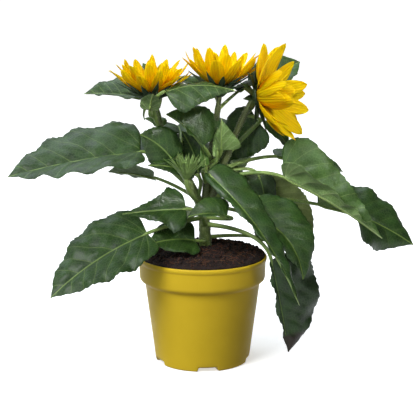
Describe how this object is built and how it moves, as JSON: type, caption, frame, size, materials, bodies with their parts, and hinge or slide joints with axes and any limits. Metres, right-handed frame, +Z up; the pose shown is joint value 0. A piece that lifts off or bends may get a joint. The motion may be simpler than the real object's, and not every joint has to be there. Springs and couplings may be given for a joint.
{
  "type": "potted sunflower plant",
  "caption": "Dwarf sunflower with golden blooms and large toothed leaves, growing in a yellow plastic pot of compost.",
  "frame": {"origin": "centre of the pot's underside, on the ground", "axes": "+Z up, +X across the widest spread of the leaves, -Y towards the front, the side the right-hand bloom leans to"},
  "size_m": [0.4036, 0.2265, 0.3188],
  "materials": {
    "pot_plastic": "semi-gloss",
    "compost": "matt, fibrous",
    "stem": "matt, hairy",
    "leaf": "satin, hairy",
    "petal": "satin",
    "disc": "matt",
    "bract": "matt, hairy"
  },
  "bodies": {
    "root": {"pot": "pot_plastic", "soil": "compost", "main_stem": "stem", "middle_stem": "stem", "left_stem": "stem", "right_stem": "stem", "far_left_leaf": "leaf", "under_left_leaf": "leaf", "low_left_leaf": "leaf", "twist_left_leaf": "leaf", "soil_left_leaf": "leaf", "centre_low_leaf": "leaf", "front_right_leaf": "leaf", "right_up_leaf": "leaf", "far_right_leaf": "leaf", "right_back_leaf": "leaf", "right_low_leaf": "leaf", "lowest_right_leaf": "leaf", "right_high_leaf": "leaf", "dark_round_leaf": "leaf", "young_middle_leaf": "leaf", "upper_centre_leaf": "leaf", "top_front_left_leaf": "leaf", "top_front_leaf": "leaf", "left_top_leaf": "leaf", "behind_left_bloom_leaf": "leaf", "behind_right_bloom_leaf": "leaf", "between_blooms_leaf": "leaf", "under_middle_bloom_leaf": "leaf", "small_left_leaf": "leaf", "glossy_left_leaf": "leaf", "dark_hanging_leaf": "leaf", "under_right_bloom_leaf": "leaf", "low_back_right_leaf": "leaf", "back_left_leaf": "leaf", "back_far_left_leaf": "leaf", "back_middle_leaf": "leaf", "back_right_leaf": "leaf", "back_low_leaf": "leaf", "back_upper_left_leaf": "leaf", "back_upper_right_leaf": "leaf", "left_bloom_rays": "petal", "left_bloom_disc": "disc", "left_bloom_calyx": "bract", "middle_bloom_rays": "petal", "middle_bloom_disc": "disc", "middle_bloom_calyx": "bract", "right_bloom_rays": "petal", "right_bloom_disc": "disc", "right_bloom_calyx": "bract", "bud": "bract"}
  },
  "joints": []
}
